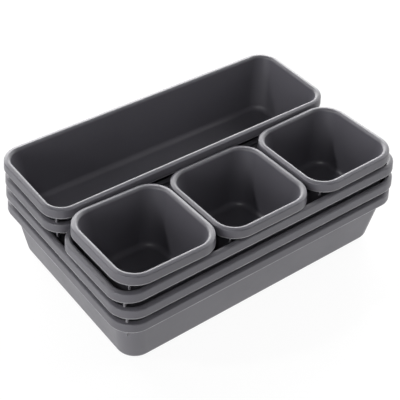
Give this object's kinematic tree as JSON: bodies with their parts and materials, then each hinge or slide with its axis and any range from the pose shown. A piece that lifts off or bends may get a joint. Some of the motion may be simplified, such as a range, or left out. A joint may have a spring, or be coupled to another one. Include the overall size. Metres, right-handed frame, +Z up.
{
  "type": "drawer organizer insert",
  "caption": "Nested set of open plastic drawer trays in large, long and small square sizes, with rounded corners and hollow rolled rims, that lift apart to divide a drawer.",
  "frame": {"origin": "centre of the lowest tray's base, on the surface it stands on", "axes": "+X along the length of the trays, +Y towards the row of long trays, +Z up"},
  "size_m": [0.24, 0.16, 0.0836],
  "materials": {
    "grey_plastic": "satin moulded polypropylene with a fine even grain"
  },
  "bodies": {
    "lower_large_tray": {"lower_large_tray": "grey_plastic"},
    "upper_large_tray": {"upper_large_tray": "grey_plastic"},
    "rear_lower_long_tray": {"rear_lower_long_tray": "grey_plastic"},
    "rear_upper_long_tray": {"rear_upper_long_tray": "grey_plastic"},
    "front_long_tray": {"front_long_tray": "grey_plastic"},
    "left_small_bin": {"left_small_bin": "grey_plastic"},
    "middle_small_bin": {"middle_small_bin": "grey_plastic"},
    "right_small_bin": {"right_small_bin": "grey_plastic"}
  },
  "joints": [
    {"name": "upper_large_tray_lift", "type": "slide", "parent": "lower_large_tray", "child": "upper_large_tray", "axis": [0, 0, 1], "range_m": [0, 0.05]},
    {"name": "rear_lower_long_tray_lift", "type": "slide", "parent": "upper_large_tray", "child": "rear_lower_long_tray", "axis": [0, 0, 1], "range_m": [0, 0.06]},
    {"name": "rear_upper_long_tray_lift", "type": "slide", "parent": "rear_lower_long_tray", "child": "rear_upper_long_tray", "axis": [0, 0, 1], "range_m": [0, 0.05]},
    {"name": "front_long_tray_lift", "type": "slide", "parent": "upper_large_tray", "child": "front_long_tray", "axis": [0, 0, 1], "range_m": [0, 0.06]},
    {"name": "left_small_bin_lift", "type": "slide", "parent": "front_long_tray", "child": "left_small_bin", "axis": [0, 0, 1], "range_m": [0, 0.05]},
    {"name": "middle_small_bin_lift", "type": "slide", "parent": "front_long_tray", "child": "middle_small_bin", "axis": [0, 0, 1], "range_m": [0, 0.05]},
    {"name": "right_small_bin_lift", "type": "slide", "parent": "front_long_tray", "child": "right_small_bin", "axis": [0, 0, 1], "range_m": [0, 0.05]}
  ]
}
